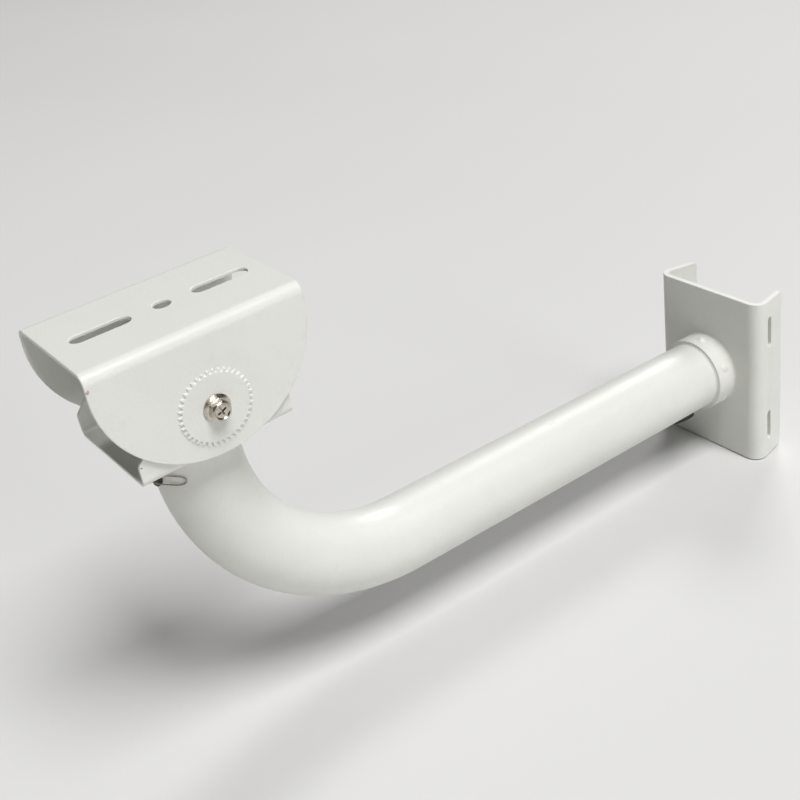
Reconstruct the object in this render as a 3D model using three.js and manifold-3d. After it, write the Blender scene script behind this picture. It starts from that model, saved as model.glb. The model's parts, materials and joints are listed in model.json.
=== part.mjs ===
// Welded steel arm bracket that carries a CCTV camera on a pole or a corner plate.
// Frame: +Z up, origin on the arm axis in the plane where the plate's flanges meet the pole,
// the arm reaches out along -Y, millimetres. The tilting camera seat turns about X.
import * as THREE from 'three';
import { mergeVertices } from 'three/addons/utils/BufferGeometryUtils.js';
import Module from 'manifold-3d';

const GAP = 0.3;                    // paint-thick clearance between pieces that touch
const RAD = Math.PI / 180;

// Pole plate: a channel of thick sheet whose two flanges lean in towards each other.
const PLATE_W = 92.8;
const PLATE_H = 126;
const PLATE_DEPTH = 32.6;           // front face to the flanges' rear edges
const PLATE_T = 4;
const PLATE_BEND_R = 10;            // outside of the bend
const PLATE_LEAN = 12.3 * RAD;      // flange past square
const PLATE_CORNER_R = 2.6;
const STRAP_SLOT_L = 23.5;
const STRAP_SLOT_W = 5;
const STRAP_SLOT_Z = 38;            // slot centre above and below the arm axis
const STRAP_SLOT_Y = -17.7;

// Bent arm tube.
const TUBE_R = 24;
const TUBE_WALL = 2;
const TUBE_SIDES = 40;
const ARM_RUN = 281;                // plate face to the start of the bend
const BEND_R = 119.4;               // to the tube's centreline
const BEND_ANGLE = 86.5 * RAD;
const BEND_STEPS = 16;
const LEG = 19;                     // straight end under the cradle

// Sleeve that stiffens the joint of the tube and the plate, with its rivets and weld beads.
const SLEEVE_R = 26.8;
const SLEEVE_L = 16.4;
const SLEEVE_EDGE_R = 0.35;
const RIVETS = 6;
const RIVET_HEAD_R = 3.8;
const RIVET_HEAD_H = 1.3;
const RIVET_SHANK_R = 1.6;
const RIVET_TAIL = 1.6;             // shank left proud of the tube's bore
const RIVET_TURN = -4.5;            // degrees of the first one from straight up
const RIVET_Y = 8.6;                // in front of the plate
const BEAD = 0.6;                   // leg of the thin fillet welds
const SEAT_BEAD = 2.6;              // leg of the fillet weld under the cradle

// Cable holes with rubber grommets.
const BASE_HOLE_Y = 35.5;           // in front of the plate, on the underside
const BASE_HOLE_R = 11;
const BASE_BORE_R = 8;
const BASE_LIP_R = 13.2;
const BASE_LIP_T = 2.9;
const HEAD_HOLE_DOWN = 18.4;        // below the end of the leg, on the front
const HEAD_HOLE_R = 5;
const HEAD_BORE_R = 3.4;
const HEAD_LIP_R = 6.3;
const HEAD_LIP_T = 1.9;
const INNER_LIP_T = 1.6;

// Draw wire left in the arm, with a loop outside the head hole.
const WIRE_R = 0.35;
const WIRE_LOW = 15;                // wire's place in the bore, below the centreline
const WIRE_TAIL = 60;               // its inner end, in front of the plate

// Cradle: upright channel welded across the end of the leg.
const CRADLE_T = 2;
const CRADLE_L = 85;
const CRADLE_BEND_R = 4.2;
const CRADLE_END_H = 12.5;          // straight upright end of each cheek
const CRADLE_LOBE_R = 24;           // round lobe about the pivot
const PIVOT_UP = 25.5;              // pivot above the end of the leg
const PIVOT_BACK = 1.8;             // pivot behind the leg's axis
const CRADLE_CORNER = 2.5;            // size of the softened corner over each upright end
const PIN_DIMPLE_R = 0.5;
const PIN_DIMPLE_DEPTH = 0.8;
const PIN_DIMPLE_IN = 1.1;          // behind the cheek's front edge
const PIN_DIMPLE_DOWN = 13.9;       // below the pivot

// Yoke: the tilting camera seat, a downward channel with half-round cheeks.
const YOKE_W = 78.8;
const YOKE_T = 2;
const YOKE_L = 118;
const YOKE_BEND_R = 6.2;
const YOKE_TOP = 43.8;              // seat face above the pivot
const YOKE_ARC_UP = 32.3;           // centre of the cheek's round edge above the pivot
const YOKE_BACK = 0.3;              // middle of the yoke behind the pivot
const YOKE_TIP = 2.6 * RAD;         // nose-down tip of the seat as it stands
const SEAT_SLOT_L = 32;
const SEAT_SLOT_W = 9.4;
const SEAT_SLOT_AT = 33;            // slot centre from the middle hole
const SEAT_HOLE_R = 4.7;
const SEAT_HOLES_BACK = 1.6;        // row of holes behind the pivot

// Pressed ring of locking teeth round each pivot.
const TEETH = 40;
const TOOTH_TIP_R = 20.5;
const TOOTH_ROOT_R = 18.7;
const TOOTH_RISE = 1;
const TOOTH_DRAFT = 0.2;            // inner side's teeth reach this much further out
const TOOTH_PHASE = 0.5;            // share of a pitch: a gap stands straight up

// Pivot screws: M6 with hexagon flange head and cross recess, and their weld nuts.
const SCREW_R = 2.9;
const SCREW_HOLE_R = 3.2;
const SCREW_REACH = 13;             // under the head
const HEAD_FLANGE_R = 7.4;
const HEAD_FLANGE_H = 2.4;
const HEX_AF = 10;
const HEAD_H = 6.2;
const DISH_R = 4.1;
const DISH_DEPTH = 0.8;
const CROSS_L = 5.4;
const CROSS_W = 1.1;
const CROSS_DEPTH = 3;
const CROSS_TURN = 12;              // degrees
const NUT_AF = 10;
const NUT_T = 5;

const wasm = await Module();
wasm.setup();

const PAINT = new THREE.MeshStandardMaterial({ color: 0xe4e4df, roughness: 0.45, metalness: 0 });
const RUBBER = new THREE.MeshStandardMaterial({ color: 0x0c0c0d, roughness: 0.7, metalness: 0 });
const NICKEL = new THREE.MeshStandardMaterial({ color: 0xb9b3a8, roughness: 0.25, metalness: 1 });
const ZINC = new THREE.MeshStandardMaterial({ color: 0x9a9ea3, roughness: 0.4, metalness: 1 });
const WIRE = new THREE.MeshStandardMaterial({ color: 0x5d5148, roughness: 0.45, metalness: 1 });

const deg = (a) => a * RAD;

/** A closed mesh as a solid that can be joined and cut, after an optional matrix. */
function solid(geometry, matrix) {
  const bare = geometry.clone();
  bare.deleteAttribute('normal');
  bare.deleteAttribute('uv');
  if (matrix) bare.applyMatrix4(matrix);
  const merged = mergeVertices(bare, 1e-4);
  return new wasm.Manifold(new wasm.Mesh({
    numProp: 3,
    vertProperties: new Float32Array(merged.attributes.position.array),
    triVerts: new Uint32Array(merged.index.array),
  }));
}

/** A joined or cut solid as a mesh. */
function geometryOf(body) {
  const mesh = body.getMesh();
  const geometry = new THREE.BufferGeometry();
  geometry.setAttribute('position', new THREE.BufferAttribute(mesh.vertProperties, 3));
  geometry.setIndex(new THREE.BufferAttribute(mesh.triVerts, 1));
  geometry.computeVertexNormals();
  return geometry;
}

const basis = (x, y, z, at) =>
  new THREE.Matrix4().makeBasis(x, y, z).setPosition(at ?? new THREE.Vector3());
const X = new THREE.Vector3(1, 0, 0);
const Y = new THREE.Vector3(0, 1, 0);
const Z = new THREE.Vector3(0, 0, 1);
const at = (x, y, z) => new THREE.Matrix4().makeTranslation(x, y, z);

/** Prism of a shape drawn in (x, y) and pushed along z from 0 to depth. */
function prism(shape, depth, curveSegments = 8) {
  return new THREE.ExtrudeGeometry(shape, { depth, bevelEnabled: false, curveSegments });
}

/** Prism of a shape drawn in (y, z) and pushed along x, centred on x = 0. */
function sidePrism(shape, width, curveSegments = 8) {
  const from = new THREE.Vector3(-width / 2, 0, 0);
  return solid(prism(shape, width, curveSegments), basis(Y, Z, X, from));
}

/** Round bar along +z from 0 to length. */
function bar(radius, length, sides) {
  const geometry = new THREE.CylinderGeometry(radius, radius, length, sides);
  geometry.rotateX(Math.PI / 2);
  geometry.translate(0, 0, length / 2);
  return geometry;
}

/** Solid of revolution about +z from a closed [radius, z] profile. */
function turned(profile, sides) {
  const geometry = new THREE.LatheGeometry(profile.map(([r, z]) => new THREE.Vector2(r, z)), sides);
  geometry.rotateX(Math.PI / 2);
  return geometry;
}

/** Ring about +z: the closed profile is repeated at its start. */
const ring = (profile, sides) => turned([...profile, profile[0]], sides);

function polygon(points) {
  return new THREE.Shape(points.map(([x, y]) => new THREE.Vector2(x, y)));
}

function circle(radius, sides, cx = 0, cy = 0) {
  const step = (2 * Math.PI) / sides;
  return polygon(Array.from({ length: sides }, (_, i) =>
    [cx + radius * Math.cos(i * step), cy + radius * Math.sin(i * step)]));
}

/** Points of an arc in degrees about (cx, cy). */
function arc(cx, cy, radius, from, to, steps) {
  return Array.from({ length: steps + 1 }, (_, i) => {
    const a = deg(from + ((to - from) * i) / steps);
    return [cx + radius * Math.cos(a), cy + radius * Math.sin(a)];
  });
}

/** Slot with round ends, long along y. */
function slot(length, width, cx, cy, steps = 8) {
  const r = width / 2;
  const run = length / 2 - r;
  return polygon([...arc(cx, cy + run, r, 0, 180, steps), ...arc(cx, cy - run, r, 180, 360, steps)]);
}

/** A curve whose spaced points are the samples of its own parameter. */
class Stations extends THREE.Curve {
  constructor(sample, tangent) {
    super();
    this.sample = sample;
    this.tangent = tangent;
  }
  getPoint(t) { return this.sample(t); }
  getPointAt(t) { return this.sample(t); }
  getTangent(t) { return this.tangent(t); }
  getTangentAt(t) { return this.tangent(t); }
}

// Arm centreline, measured in the plane x = 0 from the plate's front face.
const FRONT_Y = -PLATE_DEPTH;
const BEND_START = new THREE.Vector3(0, FRONT_Y - ARM_RUN, 0);
const LEG_DIR = new THREE.Vector3(0, -Math.cos(BEND_ANGLE), Math.sin(BEND_ANGLE));
const FORE = new THREE.Vector3(0, -Math.sin(BEND_ANGLE), -Math.cos(BEND_ANGLE));

function bendPoint(angle) {
  const y = BEND_START.y - BEND_R * Math.sin(angle);
  return new THREE.Vector3(0, y, BEND_R * (1 - Math.cos(angle)));
}
const LEG_START = bendPoint(BEND_ANGLE);
const LEG_END = LEG_START.clone().addScaledVector(LEG_DIR, LEG);

/** Sweeps a tube of the given wall along the arm. */
function armTube() {
  const steps = BEND_STEPS + 2;
  const from = FRONT_Y - GAP;
  const point = (t) => {
    const i = Math.round(t * steps);
    if (i === 0) return new THREE.Vector3(0, from, 0);
    if (i === steps) return LEG_END.clone().addScaledVector(LEG_DIR, -GAP);
    return bendPoint((BEND_ANGLE * (i - 1)) / BEND_STEPS);
  };
  const tangent = (t) => {
    const i = Math.min(Math.max(Math.round(t * steps) - 1, 0), BEND_STEPS);
    const a = (BEND_ANGLE * i) / BEND_STEPS;
    return new THREE.Vector3(0, -Math.cos(a), Math.sin(a));
  };
  const section = circle(TUBE_R, TUBE_SIDES);
  section.holes.push(circle(TUBE_R - TUBE_WALL, TUBE_SIDES));
  const geometry = new THREE.ExtrudeGeometry(section, {
    steps, extrudePath: new Stations(point, tangent), bevelEnabled: false,
  });
  let body = solid(geometry);
  body = body.subtract(solid(bar(BASE_HOLE_R, 2 * TUBE_R, 32), BASE_AXES));
  body = body.subtract(solid(bar(HEAD_HOLE_R, 2 * TUBE_R, 28), HEAD_AXES));
  for (const axes of rivetAxes()) {
    body = body.subtract(solid(bar(RIVET_SHANK_R + GAP, 2 * TUBE_R, 12), axes));
  }
  return geometryOf(body);
}

// Each cable hole's axes: +z points out of the tube, +y runs along it.
const BASE_AXES = basis(new THREE.Vector3(-1, 0, 0), Y, new THREE.Vector3(0, 0, -1),
  new THREE.Vector3(0, FRONT_Y - BASE_HOLE_Y, 0));
const HEAD_AXES = basis(X, LEG_DIR, FORE, LEG_END.clone().addScaledVector(LEG_DIR, -HEAD_HOLE_DOWN));

/** Axes of each rivet: +z points out of the sleeve. */
function rivetAxes() {
  return Array.from({ length: RIVETS }, (_, i) => {
    const a = deg(90 + RIVET_TURN - (360 / RIVETS) * i);
    const out = new THREE.Vector3(Math.cos(a), 0, Math.sin(a));
    const side = new THREE.Vector3().crossVectors(Y, out);
    return basis(side, Y, out, new THREE.Vector3(0, FRONT_Y - RIVET_Y, 0));
  });
}

/** Channel section in (x, y) with its web on y = 0 and both flanges running to y = depth. */
function channelSection(width, depth, sheet, bendR, lean, steps) {
  const side = (offset) => {
    const cx = width / 2 - bendR;
    const r = bendR - offset;
    const points = arc(cx, bendR, r, -90, lean / RAD, steps);
    const [x, y] = points[points.length - 1];
    const run = (depth - y) / Math.cos(lean);
    points.push([x - run * Math.sin(lean), depth]);
    return points;
  };
  const outer = side(0);
  const inner = side(sheet);
  const mirror = (points) => points.map(([x, y]) => [-x, y]).reverse();
  return polygon([...outer, ...inner.reverse(), ...mirror(inner), ...mirror(outer)]);
}

function backPlate() {
  const section = channelSection(PLATE_W, PLATE_DEPTH, PLATE_T, PLATE_BEND_R, PLATE_LEAN, 8);
  let body = solid(prism(section, PLATE_H), at(0, FRONT_Y, -PLATE_H / 2));
  const h = PLATE_H / 2;
  const r = PLATE_CORNER_R;
  const side = polygon([
    [FRONT_Y - 1, -h - 1], ...arc(-r, -h + r, r, -90, 0, 6), ...arc(-r, h - r, r, 0, 90, 6),
    [FRONT_Y - 1, h + 1],
  ]);
  body = body.intersect(sidePrism(side, 2 * PLATE_W));
  for (const z of [-STRAP_SLOT_Z, STRAP_SLOT_Z]) {
    const cut = slot(STRAP_SLOT_L, STRAP_SLOT_W, STRAP_SLOT_Y, z);
    body = body.subtract(sidePrism(cut, 2 * PLATE_W));
  }
  return geometryOf(body);
}

/** Places a shape turned about +z so that its +z runs from the plate along the arm. */
const OUTWARD = new THREE.Vector3(0, -1, 0);
const ALONG_ARM = (offset) => basis(X, Z, OUTWARD, new THREE.Vector3(0, FRONT_Y - offset, 0));

function sleeve() {
  const e = SLEEVE_EDGE_R;
  const profile = [
    [TUBE_R + GAP, 0], [SLEEVE_R, 0], [SLEEVE_R, SLEEVE_L - e],
    [SLEEVE_R - e * 0.3, SLEEVE_L - e * 0.3], [SLEEVE_R - e, SLEEVE_L], [TUBE_R + GAP, SLEEVE_L],
  ];
  let body = solid(ring(profile, 48), ALONG_ARM(GAP));
  for (const axes of rivetAxes()) {
    body = body.subtract(solid(bar(RIVET_SHANK_R + GAP, 2 * TUBE_R, 12), axes));
  }
  return geometryOf(body);
}

/** Fillet bead: a ring of triangular section round the tube, its flat leg on z = 0. */
function bead(inner, leg, sides) {
  const profile = [[inner, 0], [inner + leg, 0], [inner + leg * 0.62, leg * 0.62], [inner, leg]];
  return ring(profile, sides);
}

function rivet() {
  const seat = SLEEVE_R + GAP;
  const tail = TUBE_R - TUBE_WALL - RIVET_TAIL;
  return turned([
    [0, tail], [RIVET_SHANK_R, tail], [RIVET_SHANK_R, seat], [RIVET_HEAD_R, seat],
    [RIVET_HEAD_R * 0.92, seat + RIVET_HEAD_H * 0.45], [RIVET_HEAD_R * 0.6, seat + RIVET_HEAD_H * 0.85],
    [0, seat + RIVET_HEAD_H],
  ], 20);
}

/** Grommet that follows the tube: outer lip, neck and inner lip, with a bore. Axes as the hole's. */
function grommet(holeR, boreR, lipR, lipT) {
  const across = 4 * TUBE_R;
  const shell = (inner, outer) => {
    const body = circle(outer, 64);
    body.holes.push(circle(inner, 64));
    return solid(prism(body, across), basis(X, Z, OUTWARD, new THREE.Vector3(0, across / 2, 0)));
  };
  const disc = (r, sides) => solid(bar(r, 2 * TUBE_R, sides));
  const skin = TUBE_R + GAP;
  const bore = TUBE_R - TUBE_WALL - GAP;
  const outerLip = disc(lipR, 32).intersect(shell(skin, skin + lipT));
  const innerLip = disc(lipR, 32).intersect(shell(bore - INNER_LIP_T, bore));
  const neck = disc(holeR - GAP, 28).intersect(shell(bore - INNER_LIP_T, skin + lipT));
  return outerLip.add(neck).add(innerLip).subtract(disc(boreR, 24));
}

/** Draw wire: along the bore of the arm, out of the head hole, round its loop and back in. */
function drawWire() {
  const inArm = (y) => new THREE.Vector3(0, FRONT_Y - y, -WIRE_LOW);
  const inBend = (share) => {
    const angle = BEND_ANGLE * share;
    const outward = new THREE.Vector3(0, -Math.sin(angle), -Math.cos(angle));
    return bendPoint(angle).addScaledVector(outward, WIRE_LOW);
  };
  // Points by the head hole: degrees round the leg, millimetres up it, distance from its axis.
  const hug = TUBE_R + GAP + WIRE_R;
  const proud = hug + HEAD_LIP_T + GAP;
  const throat = TUBE_R - 2;
  const out = [[0, 1.7, TUBE_R - 6], [0, 1.8, throat], [1, 1.9, TUBE_R + 1.5]];
  const over = [
    [4, 2.2, proud + 0.3], [10, 2.7, proud + 0.1], [16, 3.1, proud - 0.4], [22, 3.3, hug + 1.2],
    [28, 3.3, hug + 0.5], [36, 3.1, hug + 0.1], [43, 2.7, hug], [48, 1.9, hug],
  ];
  const under = [
    [50.6, 0.6, hug], [50, -0.8, hug], [46.6, -1.9, hug], [42, -2.4, hug], [34, -2.4, hug + 0.1],
    [26, -2.2, hug + 0.6], [19, -2, hug + 1.6], [13, -1.9, proud - 0.1], [6, -1.8, proud + 0.2],
  ];
  const back = [[1.5, -1.7, TUBE_R + 1.8], [0, -1.6, throat], [0, -1.6, TUBE_R - 5]];
  const round = ([angle, up, r]) => HEAD_CENTRE.clone()
    .addScaledVector(FORE, r * Math.cos(deg(angle)))
    .addScaledVector(X, r * Math.sin(deg(angle)))
    .addScaledVector(LEG_DIR, up);
  const arm = Array.from({ length: 5 }, (_, i) => WIRE_TAIL + ((ARM_RUN - WIRE_TAIL) * i) / 4);
  const bend = [0.17, 0.34, 0.5, 0.66, 0.82, 0.93];
  const points = [
    ...arm.map(inArm), ...bend.map(inBend), ...[...out, ...over, ...under, ...back].map(round),
  ];
  const line = new THREE.CatmullRomCurve3(points, false, 'centripetal');
  const path = new Stations((t) => line.getPoint(t), (t) => line.getTangent(t));
  return new THREE.ExtrudeGeometry(circle(WIRE_R, 8), {
    steps: 80, extrudePath: path, bevelEnabled: false,
  });
}
const HEAD_CENTRE = LEG_END.clone().addScaledVector(LEG_DIR, -HEAD_HOLE_DOWN);

const CRADLE_W = YOKE_W - 2 * YOKE_T - 2 * GAP;
// In the cradle's and the yoke's own axes: +y is fore, +z is up, and the pivot is the origin.

/** Cheek outline of the cradle in (fore, up) about the pivot. */
function cradleOutline() {
  const half = CRADLE_L / 2;
  const foot = -PIVOT_UP;
  const shoulder = foot + CRADLE_END_H;
  const span = Math.hypot(half, shoulder);
  const lean = 90 + Math.atan2(shoulder, half) / RAD - Math.asin(CRADLE_LOBE_R / span) / RAD;
  const lobe = arc(0, 0, CRADLE_LOBE_R, 90 - lean, 90 + lean, 20);
  const c = CRADLE_CORNER;
  const corner = [[0, -0.6 * c], [-0.08 * c, -0.1 * c], [-0.4 * c, 0.45 * c]];
  const fore = corner.map(([along, up]) => [PIVOT_BACK + half + along, shoulder + up]);
  const rear = corner.map(([along, up]) => [PIVOT_BACK - half - along, shoulder + up]).reverse();
  const below = foot - 1;
  return polygon([
    [PIVOT_BACK - half, below], [PIVOT_BACK + half, below], ...fore, ...lobe, ...rear,
  ]);
}

/** Channel pushed along y, its web at z = 0 and its flanges up to z = height. */
function channelAlongY(width, height, sheet, bendR, length, steps) {
  const section = channelSection(width, height, sheet, bendR, 0, steps);
  return solid(prism(section, length), basis(X, Z, OUTWARD, new THREE.Vector3(0, length / 2, 0)));
}

function cradle() {
  const height = PIVOT_UP + CRADLE_LOBE_R + 1;
  let body = channelAlongY(CRADLE_W, height, CRADLE_T, CRADLE_BEND_R, CRADLE_L, 6);
  body = body.transform(matrixOf(at(0, PIVOT_BACK, -PIVOT_UP)));
  body = body.intersect(sidePrism(cradleOutline(), 2 * CRADLE_W));
  body = body.subtract(solid(bar(SCREW_HOLE_R, 2 * CRADLE_W, 24), acrossX(-CRADLE_W)));
  const reach = PIN_DIMPLE_DEPTH + 1;
  const dimple = basis(Y, Z, X, new THREE.Vector3(
    -CRADLE_W / 2 - 1, PIVOT_BACK + CRADLE_L / 2 - PIN_DIMPLE_IN, -PIN_DIMPLE_DOWN));
  body = body.subtract(solid(bar(PIN_DIMPLE_R, reach, 12), dimple));
  return geometryOf(body);
}

/** A matrix as 16 numbers in column order. */
const matrixOf = (matrix) => matrix.toArray();
/** Points +z of a bar along +x, starting at x. */
const acrossX = (x) => basis(Y, Z, X, new THREE.Vector3(x, 0, 0));

/** Outline of the toothed disc, each tooth narrower at its tip than at its root. */
function toothedDisc(grow) {
  const pitch = 360 / TEETH;
  const tooth = [[TOOTH_ROOT_R, -0.34], [TOOTH_TIP_R, -0.2], [TOOTH_TIP_R, 0.2], [TOOTH_ROOT_R, 0.34]];
  const points = [];
  for (let i = 0; i < TEETH; i += 1) {
    for (const [radius, share] of tooth) {
      const angle = deg((i + TOOTH_PHASE + share) * pitch);
      points.push([(radius + grow) * Math.cos(angle), (radius + grow) * Math.sin(angle)]);
    }
  }
  return polygon(points);
}

/** Half-round cheek outline of the yoke in (fore, up), run past the seat face by `past`. */
function yokeOutline(past) {
  const half = YOKE_L / 2;
  return polygon([
    [-YOKE_BACK + half, YOKE_TOP + past], [-YOKE_BACK - half, YOKE_TOP + past],
    ...arc(-YOKE_BACK, YOKE_ARC_UP, half, 180, 360, 48),
  ]);
}

function yoke() {
  const depth = YOKE_TOP + YOKE_L / 2;
  const down = new THREE.Vector3(0, 0, -1);
  const flip = basis(X, OUTWARD, down, new THREE.Vector3(0, -YOKE_BACK, YOKE_TOP));
  let body = channelAlongY(YOKE_W, depth, YOKE_T, YOKE_BEND_R, YOKE_L, 7);
  body = body.transform(matrixOf(flip)).intersect(sidePrism(yokeOutline(1), 2 * YOKE_W));
  // Each ring of teeth is pressed through the sheet: raised outside and sunk by as much inside.
  const rise = TOOTH_RISE;
  for (const side of [-1, 1]) {
    const face = (side * YOKE_W) / 2;
    const raised = acrossX(side > 0 ? face - 1 : face - rise);
    const sunk = acrossX(side > 0 ? face - YOKE_T - 1 : face + YOKE_T - rise);
    body = body.add(solid(prism(toothedDisc(0), rise + 1), raised));
    body = body.subtract(solid(prism(toothedDisc(TOOTH_DRAFT), rise + 1), sunk));
  }
  body = body.subtract(solid(bar(SCREW_HOLE_R, 2 * YOKE_W, 24), acrossX(-YOKE_W)));
  const through = 20;
  const under = at(0, 0, YOKE_TOP - through / 2);
  for (const fore of [-SEAT_SLOT_AT, SEAT_SLOT_AT]) {
    const shape = slot(SEAT_SLOT_L, SEAT_SLOT_W, 0, fore - SEAT_HOLES_BACK, 10);
    body = body.subtract(solid(prism(shape, through), under));
  }
  const middle = at(0, -SEAT_HOLES_BACK, YOKE_TOP - through / 2);
  return geometryOf(body.subtract(solid(bar(SEAT_HOLE_R, through, 24), middle)));
}

/** Hexagon of the given width across flats. */
const hexagon = (af) => circle(af / Math.sqrt(3), 6);

/** Screw with +z along its axis towards the head; z = 0 is the head's seat. */
function screw() {
  const flange = solid(turned([
    [0, -SCREW_REACH], [SCREW_R - 0.6, -SCREW_REACH], [SCREW_R, -SCREW_REACH + 0.7], [SCREW_R, 0],
    [HEAD_FLANGE_R, 0], [HEAD_FLANGE_R, HEAD_FLANGE_H * 0.45], [HEX_AF / 2 + 0.3, HEAD_FLANGE_H + 0.5],
    [HEX_AF / 2 - 0.6, HEAD_FLANGE_H + 0.6], [0, HEAD_FLANGE_H + 0.6],
  ], 32));
  const corner = HEX_AF / Math.sqrt(3);
  const chamfer = solid(turned([
    [0, 0.2], [corner + 0.1, 0.2], [corner + 0.1, HEAD_H - 0.9], [HEX_AF / 2 - 0.1, HEAD_H], [0, HEAD_H],
  ], 32));
  const hex = solid(prism(hexagon(HEX_AF), HEAD_H - 0.2), at(0, 0, 0.2));
  let body = flange.add(hex.intersect(chamfer));
  body = body.subtract(solid(turned([
    [0, HEAD_H - DISH_DEPTH], [DISH_R * 0.8, HEAD_H - DISH_DEPTH], [DISH_R, HEAD_H + 0.01],
    [DISH_R, HEAD_H + 1], [0, HEAD_H + 1],
  ], 24)));
  for (const turn of [0, 90]) {
    const arm = new THREE.BoxGeometry(CROSS_L, CROSS_W, CROSS_DEPTH * 2);
    const axes = new THREE.Matrix4().makeRotationZ(deg(turn + CROSS_TURN));
    body = body.subtract(solid(arm, axes.setPosition(0, 0, HEAD_H)));
  }
  return geometryOf(body);
}

function nut() {
  const shape = hexagon(NUT_AF);
  shape.holes.push(circle(SCREW_HOLE_R, 24));
  return prism(shape, NUT_T);
}

const bracket = new THREE.Group();
const place = (parent, name, geometry, material, matrix) => {
  const mesh = new THREE.Mesh(geometry, material);
  mesh.name = name;
  if (matrix) mesh.applyMatrix4(matrix);
  parent.add(mesh);
};

place(bracket, 'back_plate', backPlate(), PAINT);
place(bracket, 'arm_sleeve', sleeve(), PAINT);
place(bracket, 'arm_tube', armTube(), PAINT);
place(bracket, 'sleeve_front_weld', bead(TUBE_R + GAP, BEAD, 48), PAINT, ALONG_ARM(SLEEVE_L + 2 * GAP));
place(bracket, 'sleeve_plate_weld', bead(SLEEVE_R + GAP, BEAD, 48), PAINT, ALONG_ARM(GAP));
rivetAxes().forEach((axes, i) => place(bracket, `sleeve_rivet_${i + 1}`, rivet(), PAINT, axes));

const seat = LEG_END.clone();
const legDown = LEG_DIR.clone().negate();
const beadAxes = basis(X, new THREE.Vector3().crossVectors(legDown, X), legDown,
  seat.clone().addScaledVector(LEG_DIR, -GAP));
place(bracket, 'cradle_weld', bead(TUBE_R + GAP, SEAT_BEAD, 40), PAINT, beadAxes);

const baseGrommet = grommet(BASE_HOLE_R, BASE_BORE_R, BASE_LIP_R, BASE_LIP_T);
place(bracket, 'base_grommet', geometryOf(baseGrommet), RUBBER, BASE_AXES);
const headGrommet = grommet(HEAD_HOLE_R, HEAD_BORE_R, HEAD_LIP_R, HEAD_LIP_T);
place(bracket, 'head_grommet', geometryOf(headGrommet), RUBBER, HEAD_AXES);
place(bracket, 'draw_wire', drawWire(), WIRE);

// Cradle and its nuts stand on the leg's end; the pivot line is parallel to X.
const PIVOT = seat.clone().addScaledVector(LEG_DIR, PIVOT_UP).addScaledVector(FORE, -PIVOT_BACK);
const tipped = (tip) => {
  const fore = new THREE.Vector3(0, -Math.cos(tip), -Math.sin(tip));
  const up = new THREE.Vector3(0, -Math.sin(tip), Math.cos(tip));
  return basis(new THREE.Vector3(-1, 0, 0), fore, up, PIVOT);
};
const cradleGroup = new THREE.Group();
cradleGroup.applyMatrix4(tipped(Math.PI / 2 - BEND_ANGLE));
bracket.add(cradleGroup);
place(cradleGroup, 'cradle', cradle(), PAINT);

const yokeGroup = new THREE.Group();
yokeGroup.applyMatrix4(tipped(YOKE_TIP));
bracket.add(yokeGroup);
place(yokeGroup, 'yoke', yoke(), PAINT);

const headSeat = YOKE_W / 2 + TOOTH_RISE + GAP;
const nutSeat = CRADLE_W / 2 - CRADLE_T - GAP;
for (const [side, sign] of [['right', 1], ['left', -1]]) {
  const out = new THREE.Vector3(sign, 0, 0);
  const axes = (x) => basis(new THREE.Vector3(0, sign, 0), Z, out,
    PIVOT.clone().addScaledVector(X, sign * x));
  place(bracket, `pivot_screw_${side}`, screw(), NICKEL, axes(headSeat));
  place(bracket, `weld_nut_${side}`, nut(), ZINC, axes(nutSeat - NUT_T));
}

export default bracket;
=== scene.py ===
"""Looks of a tilting arm bracket: welded tube arm, channel plate, cradle and toothed camera seat."""

import json
import logging
import math
from contextlib import contextmanager
from dataclasses import dataclass, field
from enum import Enum
from typing import Callable, Iterator, Optional, Sequence

import bmesh
import bpy
from mathutils import Matrix, Vector


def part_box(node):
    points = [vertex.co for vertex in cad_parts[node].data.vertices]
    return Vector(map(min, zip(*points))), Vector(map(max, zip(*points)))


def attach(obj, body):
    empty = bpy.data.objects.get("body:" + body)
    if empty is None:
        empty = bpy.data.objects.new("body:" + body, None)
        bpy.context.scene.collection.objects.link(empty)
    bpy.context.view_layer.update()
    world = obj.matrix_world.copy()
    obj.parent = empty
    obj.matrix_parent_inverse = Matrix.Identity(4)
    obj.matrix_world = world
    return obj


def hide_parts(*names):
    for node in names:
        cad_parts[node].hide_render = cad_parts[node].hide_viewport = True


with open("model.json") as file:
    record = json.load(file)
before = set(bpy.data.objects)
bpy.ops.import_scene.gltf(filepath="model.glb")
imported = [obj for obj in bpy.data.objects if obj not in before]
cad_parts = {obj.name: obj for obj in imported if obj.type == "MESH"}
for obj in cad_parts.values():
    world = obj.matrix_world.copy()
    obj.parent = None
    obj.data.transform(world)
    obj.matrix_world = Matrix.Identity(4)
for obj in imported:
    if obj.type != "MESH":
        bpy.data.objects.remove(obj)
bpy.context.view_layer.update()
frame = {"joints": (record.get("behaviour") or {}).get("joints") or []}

log = logging.getLogger("bracket")
MM = 0.001
GAP = 0.3  # clearance between neighbouring parts, mm
Point = Sequence[float]
SQUARE = ((1, 0, 0), (0, 1, 0), (0, 0, 1))  # directions of a square piece's flat faces


class Body(Enum):
    """The two bodies that pieces ride on."""

    BRACKET = "bracket"
    SEAT = "seat_yoke"


class Slot(Enum):
    """The record's material slots."""

    PAINT = "powder_coat"
    RUBBER = "grommet_rubber"
    NICKEL = "nickel_plate"
    ZINC = "zinc_plate"
    WIRE = "wire_steel"


class Axis(Enum):
    """Direction of a round bar, with the turn that lays it there."""

    X = (0.0, math.pi / 2, 0.0)
    Z = (0.0, 0.0, 0.0)


class Part(Enum):
    """What a selection picks."""

    VERTS = "VERT"
    EDGES = "EDGE"
    FACES = "FACE"


class Cut(Enum):
    """How one solid acts on another."""

    TAKE = "DIFFERENCE"
    KEEP = "INTERSECT"
    WELD = "UNION"


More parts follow.
